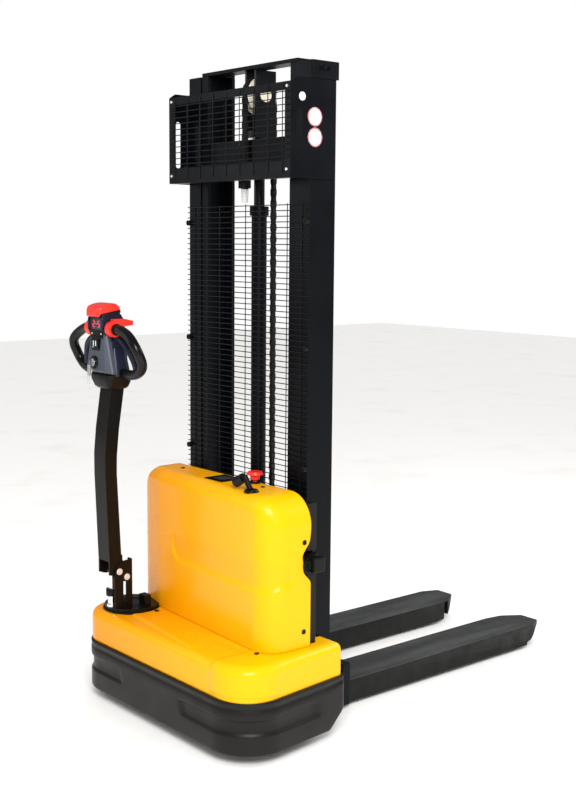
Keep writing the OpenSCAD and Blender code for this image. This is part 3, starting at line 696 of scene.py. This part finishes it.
def chain_links(places):
    """Leaf chain along places, each ((y, z), angle); plates in two staggered sets, and pins."""
    parts = []
    outline = rounded(-13.5, -6.5, 13.5, 6.5, 6.4)
    for i, ((y, z), angle) in enumerate(places):
        c, s = math.cos(angle), math.sin(angle)
        ring = [(y + a * c - b * s, z + a * s + b * c) for a, b in outline]
        for layer in (-3, -1, 1, 3) if i % 2 else (-2, 0, 2):
            x0 = layer * PLATE_T - PLATE_T / 2
            x1 = x0 + PLATE_T * 0.92
            parts.append(between([(x0, *p) for p in ring], [(x1, *p) for p in ring]))
        pin = (y - CHAIN_PITCH / 2 * c, z - CHAIN_PITCH / 2 * s)
        parts.append(turned((0, *pin), "x", [(-10, 0.01), (-10, 3.2), (10, 3.2), (10, 0.01)], 10))
    return parts


REAR_LINKS = 12
FRONT_END_Z = 485


def chains():
    """The chain's rear run and its anchor, its turn over the sheave, and its front run to the carriage."""
    rear_y, front_y = CYL_Y - SHEAVE_R, CYL_Y + SHEAVE_R
    low = SHEAVE_Z - CHAIN_PITCH * (REAR_LINKS + 0.5)
    straight = [((rear_y, low + CHAIN_PITCH * (i + 0.5)), math.pi / 2) for i in range(REAR_LINKS)]
    rear = solid_piece("lift_chain_rear", chain_links(straight), None, "chain",
                       ("chain_rear_run",))
    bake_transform(rear)
    cone = turned((0, rear_y, 1662), "z", [(0, 4), (0, 9.2), (4, 10), (38, 12.1), (44, 12.4), (44, 4)], 40)
    solid_piece("chain_anchor_cone", [cone], "chassis", "bolt", (), 0.8)

    turns = round(math.pi * SHEAVE_R / CHAIN_PITCH)
    places = []
    for i in range(turns + 1):
        t = math.pi * (1 - i / turns)
        places.append(((CYL_Y + SHEAVE_R * math.cos(t), SHEAVE_Z + SHEAVE_R * math.sin(t)), t - math.pi / 2))
    solid_piece("lift_chain_over_sheave", chain_links(places), "inner_mast", "chain")
    drop = [((front_y, SHEAVE_Z - CHAIN_PITCH * (i + 1)), math.pi / 2)
            for i in range(int((SHEAVE_Z - FRONT_END_Z) / CHAIN_PITCH))]
    front = solid_piece("lift_chain_front", chain_links(drop), None, "chain",
                        ("chain_front_run",))
    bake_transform(front)


# ---- Tiller ----

SHAFT_Y, SHAFT_Z = -367, 1252
# Lower and upper edge of the faceplate, as (y, z), and the display's face
FACE_LOW, FACE_HIGH = (-401, 1114), (-390, 1243)
SCREEN_Y = -392.2
ROCKER_Z, LOCK_Z = 1204, 1142


def extruded(ring, low, high, taper=0.0):
    """A side profile in y and z from x low to x high, its outer side shrunk by taper about its middle."""
    cy = sum(y for y, _ in ring) / len(ring)
    cz = sum(z for _, z in ring) / len(ring)
    outer = [(cy + (y - cy) * (1 - taper), cz + (z - cz) * (1 - taper)) for y, z in ring]
    return between([(HEAD_X + low, y, z) for y, z in ring], [(HEAD_X + high, y, z) for y, z in outer])


def faceplate():
    """Leaning grey face, narrow at its top, whose side facets widen downwards."""
    front = (*FACE_LOW, 53), (*FACE_HIGH, 34)
    edge = (-377, 1103, 77), (-384, 1244, 44)
    back = (-364, 1106, 76), (-364, 1244, 43)
    vertices = []
    for y, z, half in front + edge + back:
        vertices += [(HEAD_X - half, y, z), (HEAD_X + half, y, z)]
    faces = [[0, 1, 3, 2], [1, 5, 7, 3], [4, 0, 2, 6], [5, 9, 11, 7], [8, 4, 6, 10], [2, 3, 7, 11, 10, 6],
             [0, 4, 8, 9, 5, 1], [8, 10, 11, 9]]
    return vertices, faces


def face_y(z):
    """The faceplate's y at a height."""
    share = (z - FACE_LOW[1]) / (FACE_HIGH[1] - FACE_LOW[1])
    return FACE_LOW[0] + (FACE_HIGH[0] - FACE_LOW[0]) * share


def digits():
    """Two seven-segment figures on the tiller's display."""
    lit = {"2": "abged", "5": "afgcd"}
    bars = {"a": (0, 2, 1), "g": (0, 0, 1), "d": (0, -2, 1), "f": (-1, 1, 0), "b": (1, 1, 0),
            "e": (-1, -1, 0), "c": (1, -1, 0)}
    parts = []
    for place, figure in ((-15, "2"), (15, "5")):
        for key in lit[figure]:
            dx, dz, flat = bars[key]
            w, h = (4.2, 1.3) if flat else (1.3, 3.6)
            x, z = HEAD_X + place + dx * 5.2, 1267 + dz * 4.9
            parts.append(block((x - w, SCREEN_Y - 1, z - h), (x + w, SCREEN_Y, z + h)))
    parts.append(block((HEAD_X - 3, SCREEN_Y - 1, 1266), (HEAD_X + 3, SCREEN_Y, 1268.4)))
    solid_piece("display_digits", parts, "tiller", "digit")


def cap():
    """Red cap: a rounded visor over the display that thins to a tail over the head's top.

    Each station is (y, underside, top, half width); the underside clears the head by the cap's stroke.
    """
    stations = [(-408, 1294, 1314, 33), (-406.5, 1291, 1320, 38), (-403, 1291, 1324, 40),
                (-401, 1301, 1326, 41.5), (-384, 1302, 1332, 43.5), (-368, 1305, 1334.5, 44),
                (-350, 1308.5, 1335.5, 44), (-338, 1309, 1333, 42), (-327, 1309, 1326, 38),
                (-319, 1309.5, 1317, 32)]
    rings = []
    for y, low, high, half in stations:
        ring = []
        r = min(11, (high - low) * 0.45, half * 0.45)
        small = r * 0.4
        corners = ((half - r, high - r, r, 0), (r - half, high - r, r, 90),
                   (small - half, low + small, small, 180), (half - small, low + small, small, 270))
        for cx, cz, q, start in corners:
            for i in range(7):
                a = math.radians(start + 15 * i)
                ring.append((HEAD_X + cx + q * math.cos(a), y, cz + q * math.sin(a)))
        rings.append(ring)
    n = len(rings[0])
    vertices = [v for ring in rings for v in ring]
    faces = [[s * n + i, s * n + (i + 1) % n, (s + 1) * n + (i + 1) % n, (s + 1) * n + i]
             for s in range(len(rings) - 1) for i in range(n)]
    faces += [list(range(n))[::-1], [(len(rings) - 1) * n + i for i in range(n)]]
    obj = solid_piece("safety_cap_shell", [(vertices, faces)], "safety_cap", "red",
                      ("belly_button",), smooth_angle=0)
    smooth = obj.modifiers.new("round", "SUBSURF")
    smooth.levels = smooth.render_levels = 2
    baked(obj)


def cap_gaiter():
    """The lip under the cap, and the gaiter that closes the gap of the cap's stroke."""
    lip = [block((HEAD_X - 36, -399, 1286.5), (HEAD_X + 36, -380, 1291))]
    solid_piece("visor_lip", lip, "tiller", "trim", (), 1)
    levels = [(1286, 0), (1296, 0), (1300, 1.5), (1305, 0), (1312, 0)]
    boot = [(z, rounded(-42 + w, -396 + w, 42 - w, -322 - w, 9)) for z, w in levels]
    gaiter = solid_piece("cap_gaiter", [loft(boot, HEAD_X)], None, "rubber", (), 0.5)
    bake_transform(gaiter)


# The right grip's middle line from the head's middle, from the throttle's shaft round to the base
GRIP_PATH = [(60, SHAFT_Y, SHAFT_Z), (78, SHAFT_Y, SHAFT_Z), (98, SHAFT_Y + 1, SHAFT_Z - 1),
             (122, -365, 1245), (146, -365, 1235), (168, -367, 1222), (186, -367, 1206), (195, -361, 1186),
             (196, -353, 1168), (194, -345, 1150), (186, -340, 1134), (168, -338, 1119), (140, -337, 1109),
             (105, -336, 1106), (70, -335, 1107), (52, -334, 1108)]
WEB_PATH = [(42, -352, 1226), (66, -352, 1222), (96, -354, 1213), (122, -352, 1192), (138, -346, 1166),
            (147, -341, 1142), (150, -338, 1122)]


def grips():
    """Loop grips, the webs inside them and the collars beside the throttle."""
    parts, webs = [], []
    for s in (-1, 1):
        points = [(HEAD_X + s * x, y, z) for x, y, z in smooth_path(GRIP_PATH, 6)]
        parts.append(swept(points, lambda t: 13.9 + 2.3 * min(1, max(0, (t - 0.04) / 0.08)), 28))
        band = [(HEAD_X + s * x, y, z) for x, y, z in smooth_path(WEB_PATH, 5)]
        webs.append(swept(band, lambda t: 11.5 - 2 * t, 12))
    solid_piece("grip_loops", parts, "tiller", "grip", ("loop_handles",))
    solid_piece("grip_webs", webs, "tiller", "dark_head")
    for s in (-1, 1):
        low, high = sorted((s * 78, s * 84))
        section = [(low, 13), (low, 18.4), (high, 18.4), (high, 13)]
        collar = turned((HEAD_X, SHAFT_Y, SHAFT_Z), "x", section, 32)
        solid_piece(f"grip_collar_{'left' if s < 0 else 'right'}", [collar], "tiller", "trim",
                    (), 1.2, 3)


def tiller():
    """The head's core, side cheeks, faceplate, base, socket and display, with the pieces on them."""
    trunk = [(-388, 1104), (-306, 1104), (-300, 1130), (-302, 1180), (-306, 1230), (-314, 1284), (-326, 1301),
             (-396, 1293), (-400, 1285), (-400, 1249), (-388, 1240), (-386, 1180)]
    core = [(-391.6, 1108), (-304, 1108), (-302, 1180), (-314, 1282), (-330, 1298), (-391.6, 1292)]
    solid_piece("tiller_head_shell", [extruded(core, -38, 38)], "tiller", "trim",
                ("tiller_head",), 2, 2)
    solid_piece("tiller_trunk_sides", [extruded(trunk, 37, 44.4, 0.02), extruded(trunk, -37, -44.4, 0.02)],
                "tiller", "dark_head", (), 3.5, 3)
    solid_piece("tiller_faceplate", [faceplate()], "tiller", "head", (), 6, 4, smooth_angle=60)
    lower = [(1098, rounded(-72, -372, 72, -300, 22)), (1112, rounded(-70, -372, 70, -300, 22)),
             (1150, rounded(-58, -366, 58, -303, 18)), (1190, rounded(-46, -360, 46, -306, 12))]
    solid_piece("tiller_base_shell", [loft(lower, HEAD_X)], "tiller", "dark_head", (), 2, 3)
    socket = [(1054, rounded(-42, -368, 42, -300, 16)), (1062, rounded(-50, -378, 50, -294, 18)),
              (1086, rounded(-60, -386, 60, -288, 20)), (1102, rounded(-68, -384, 68, -296, 22))]
    solid_piece("tiller_socket", [loft(socket, HEAD_X)], "tiller", "trim", (), 2, 3)
    visor = [(z, rounded(-38, -397, 38, -390, 2)) for z in (1243.5, 1247.5)]
    screen = [(z, rounded(-37, SCREEN_Y, 37, -389, 1)) for z in (1248, 1286)]
    solid_piece("display_visor", [loft(visor, HEAD_X)], "tiller", "trim", (), 0.8)
    solid_piece("tiller_display", [loft(screen, HEAD_X)], "tiller", "screen", (), 0.5, 2)
    digits()
    cap()
    cap_gaiter()
    grips()
    switch_and_lock()


def switch_and_lock():
    """Details round the rocker switch and the key on the faceplate, and its screws."""
    surround = [block((HEAD_X - 26, face_y(ROCKER_Z) - 2.2, 1180), (HEAD_X + 26, face_y(ROCKER_Z) + 4, 1228))]
    solid_piece("switch_surround", surround, "tiller", "trim", (), 1.5, 3)
    marks = [block((HEAD_X + x - 2, -400.7, 1196), (HEAD_X + x + 2, -399.9, 1213)) for x in (-7, 7)]
    marks.append(block((HEAD_X - 12, -400.7, 1191), (HEAD_X - 7, -399.9, 1194)))
    solid_piece("switch_marks", marks, "rocker", "mark", (), 0.3)
    collar = turned((HEAD_X - 4, face_y(LOCK_Z), LOCK_Z), "y",
                    [(-5, 13.4), (-5, 19), (-3, 21.5), (3, 21.5), (3, 13.4)], 40)
    solid_piece("key_collar", [collar], "tiller", "trim", (), 1, 3)
    front_screw = [(-1.4, 0.01), (-1.4, 3.2), (1, 3.2), (1, 0.01)]
    side_screw = [(-1, 0.01), (-1, 3.4), (1.4, 3.4), (1.4, 0.01)]
    screws = [turned((HEAD_X + x, face_y(1236) - 0.2, 1236), "y", front_screw, 20) for x in (-28, 27)]
    screws.append(turned((HEAD_X + 45, -366, 1206), "x", side_screw, 20))
    solid_piece("face_screws", screws, "tiller", "bolt", (), 0.4)


def key_ring():
    """A ring through the key with a spare key on it."""
    centre = Vector((HEAD_X - 9, -414, 1112))
    ring = []
    for i in range(41):
        a = 2 * math.pi * i / 40
        ring.append(centre + Vector((12 * math.sin(a), 3 * math.cos(a), 12 * math.cos(a))))
    tag = [block((HEAD_X - 24, -416, 1072), (HEAD_X - 9, -413, 1104))]
    vertices, faces = swept(ring, 1.1, 10, False)
    solid_piece("key_ring", [(vertices, faces)], "key", "bolt")
    solid_piece("spare_key", tag, "key", "bolt", (), 1.2, 3)


# ---- Small parts ----


def hex_bolts():
    """Bolt heads and washers at the tiller's bracket, and bolt heads at the hood's corners."""
    def head(centre, axis, r, t, direction):
        a, b = sorted((0, direction * t))
        return turned(centre, axis, [(a, 0.01), (a, r), (b, r), (b, 0.01)], 6)

    bracket = []
    for y, z, r in ((-339, 440, 9), (-310, 418, 8)):
        for s in (-1, 1):
            bracket.append(head((STEER_X + s * 40, y, z), "x", r, 5, s))
            bracket.append(turned((STEER_X + s * 40, y, z), "x",
                                  [(0, 4), (0, 11), (s * 1.5, 11), (s * 1.5, 4)], 24))
    solid_piece("bracket_bolts", bracket, "drive_unit", "bolt", (), 0.8)
    hood = [head((x, -81.5, z), "y", 4.5, 3, -1) for x in (-300, 300) for z in (1752, 1996)]
    solid_piece("hood_bolts", hood, "chassis", "bolt", (), 0.7)


def round_labels():
    """Blank round labels on the mast's side."""
    hood_side = 316.6
    discs, rims = [], []
    for y, z, r, rimmed in ((15, 1911, 28.5, True), (16, 1850, 28.5, True), (-36, 1968, 13, False)):
        disc = [(0, 0.01), (0, r), (0.5, r), (0.5, 0.01)]
        rim = [(0.4, r - 3.5), (0.4, r - 0.5), (0.9, r - 0.5), (0.9, r - 3.5)]
        discs.append(turned((hood_side, y, z), "x", disc, 48))
        if rimmed:
            rims.append(turned((hood_side, y, z), "x", rim, 48))
    solid_piece("blank_labels", discs, "chassis", "label")
    solid_piece("label_rims", rims, "chassis", "rim_red")


def conduit():
    """Corrugated cable from the gland to the bracket's foot."""
    path = [(34, 18, 332), (20, 17, 332), (4, 8, 331), (-6, -8, 328), (-9, -26, 324), (-9, -50, 322)]
    points = [(STEER_X + x, STEER_Y + y, z) for x, y, z in smooth_path(path, 26)]
    tube = swept(points, lambda t: 5.6 + 0.9 * math.sin(74 * math.pi * t), 18)
    solid_piece("cable_conduit", [tube], "drive_unit", "hose", ("tiller_cable",),
                smooth_angle=0)


def cover_details():
    """The glass of the cover's display, the seal round the platform and the gas spring's collar."""
    top = COVER_TOP
    glass = block((21, -151, top + 1.2), (71, -103, top + 2.6))
    solid_piece("display_glass", [glass], "chassis", "screen", (), 0.6)
    ring = turned((STEER_X, STEER_Y, DECK_Z - 3), "z",
                  [(0, 93.5), (0, 98), (3.4, 97.6), (4, 96), (3.4, 93.5)], 96)
    solid_piece("platform_seal", [ring], "chassis", "skirt", (), 0)
    collar = turned((STEER_X, STEER_Y - 80, 352), "z",
                    [(0, 13.6), (0, 18.5), (3, 19.5), (22, 19.5), (25, 18), (25, 13.6)], 40)
    solid_piece("gas_spring_collar", [collar], "drive_unit", "trim", (), 1)


def wheels():
    """Turned wheels with tyres, hubs and side recesses."""
    def wheel(name, node, r, width, hub, body, paint, rim_paint):
        low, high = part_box(node)
        middle = (low + high) / 2
        centre = ((middle.x - MAST_X) / MM, (middle.y - MAST_Y) / MM, middle.z / MM)
        w = width / 2
        tyre = [(-w + 5, r - 14), (-w, r - 12), (-w, r - 4), (-w + 4, r), (w - 4, r), (w, r - 4), (w, r - 12),
                (w - 5, r - 14)]
        rim = [(-w + 2, hub), (-w + 2, hub + 9), (-w + 7, hub + 12), (-w + 7, r - 20), (-w + 3, r - 14.2),
               (w - 3, r - 14.2), (w - 7, r - 20), (w - 7, hub + 12), (w - 2, hub + 9), (w - 2, hub)]
        solid_piece(name + "_tyre", [turned(centre, "x", tyre, 72)], body, paint, (node,))
        solid_piece(name + "_rim", [turned(centre, "x", rim, 72)], body, rim_paint)

    wheel("drive_wheel", "drive_wheel", 105, 70, 15.2, "drive_roll", "rubber", "cast")
    wheel("caster_wheel", "caster_wheel", 62.5, 50, 8.2, "caster_roll", "poly", "cast")
    wheel("load_roller_l", "load_roller_left", 37, 72, 10.2, "left_load_roller", "poly", "steel")
    wheel("load_roller_r", "load_roller_right", 37, 72, 10.2, "right_load_roller", "poly", "steel")


covers()
bumper_skirt()
chains()
tiller()
key_ring()
hex_bolts()
round_labels()
conduit()
cover_details()
wheels()

# Nodes that keep their own shape, with rounded edges: node, edge width in mm, material
SOFTENED = {
    "mast": {"base_frame": 2, "leg_left": 3, "leg_right": 3, "chassis_deck": 1.5, "outer_column_left": 5,
             "outer_column_right": 5, "outer_ties": 2, "guard_frame": 1.2, "lift_cylinder": 1.5,
             "inner_column_left": 2, "inner_column_right": 2, "inner_crossbeams": 2, "carriage_frame": 2,
             "fork_heels": 4, "pump_motor": 3, "drive_motor": 3},
    "fork": {"fork_left": 5, "fork_right": 5},
    "skirt": {"back_panel": 3},
    "trim": {"display_panel": 1.2, "e_stop_base": 1.5, "disconnect_socket": 2, "disconnect_plug": 5,
             "lift_lever": 3, "steer_platform": 1.2, "rocker_switch": 2.5, "cover_screws": 0.8},
    "arm": {"tiller_arm": 5},
    "red": {"throttle_lever": 4, "e_stop_button": 2.5},
    "steel": {"mast_rollers": 1.5, "carriage_rollers_upper": 1.5, "carriage_rollers_lower": 1.5,
              "key_set": 0.6, "caster_fork": 1.5},
    "chrome": {"gas_spring_rod": 1, "gas_spring_body": 1},
    "rod": {"piston_rod": 1},
    "cast": {"drive_housing": 3, "motor_controller": 1},
    "cream": {"chain_sheave": 1.5},
    "battery": {"battery_pack": 4},
    "tank": {"oil_tank": 5},
}
for paint, nodes in SOFTENED.items():
    for node, width in nodes.items():
        soften(node, width, paint, 3 if width > 2 else 2)
for node, paint in {"guard_mesh": "wire", "mast_mesh": "wire", "mesh_clips": "trim",
                    "cylinder_hose": "hose"}.items():
    paint_node(node, paint)

# ---- Floor and light ----


def floor():
    """A pale floor with faint marks."""
    n = Nodes("studio_floor")
    marks = n.ramp(n.noise(2.2, 8.0), 0.55, 0.8)
    n.link(n.mix(marks, (0.93, 0.92, 0.90), (0.86, 0.84, 0.80)), "Base Color")
    n.shader.inputs["Roughness"].default_value = 0.75
    half = 14
    corners = [(x, y, 0) for x, y in rectangle(-half, -half, half, half)]
    mesh = new_mesh("floor", corners, [[0, 1, 2, 3]])
    mesh.materials.append(n.material)
    obj = bpy.data.objects.new("floor", mesh)
    bpy.context.scene.collection.objects.link(obj)


def area_light(name, place, target, size, power):
    data = bpy.data.lights.new(name, "AREA")
    data.shape = "RECTANGLE"
    data.size, data.size_y = size
    data.energy = power
    obj = bpy.data.objects.new(name, data)
    bpy.context.scene.collection.objects.link(obj)
    obj.location = place
    obj.rotation_euler = (Vector(target) - Vector(place)).to_track_quat("-Z", "Y").to_euler()


def lights():
    """A white room, darker to the left and in reflections, and three soft lamps."""
    world = bpy.data.worlds.new("studio")
    world.use_nodes = True
    tree = world.node_tree
    aim = tree.nodes.new("ShaderNodeVectorMath")
    aim.operation = "DOT_PRODUCT"
    aim.inputs[1].default_value = (-0.985, -0.17, 0)
    tree.links.new(tree.nodes.new("ShaderNodeTexCoord").outputs["Generated"], aim.inputs[0])
    shade = tree.nodes.new("ShaderNodeMapRange")
    shade.interpolation_type = "SMOOTHSTEP"
    tree.links.new(aim.outputs["Value"], shade.inputs["Value"])
    for key, number in (("From Min", 0.86), ("From Max", 0.99), ("To Min", 1.0), ("To Max", 0.25)):
        shade.inputs[key].default_value = number
    path = tree.nodes.new("ShaderNodeLightPath")
    soft = tree.nodes.new("ShaderNodeMapRange")
    tree.links.new(path.outputs["Is Glossy Ray"], soft.inputs["Value"])
    tree.links.new(shade.outputs["Result"], soft.inputs["To Min"])
    soft.inputs["To Max"].default_value = 0.22
    tree.links.new(soft.outputs["Result"], tree.nodes["Background"].inputs["Strength"])
    tree.nodes["Background"].inputs["Color"].default_value = (1, 1, 1, 1)
    bpy.context.scene.world = world
    bpy.context.scene.view_settings.view_transform = "Standard"
    area_light("key", (3.0, -2.4, 3.0), (0, 0, 0.6), (1.6, 1.6), 150)
    area_light("fill", (-2.6, -3.0, 2.2), (0, 0, 0.8), (1.2, 1.2), 8)
    area_light("back", (1.5, 3.4, 3.0), (0, 0, 1.0), (2.0, 1.5), 50)


floor()
lights()
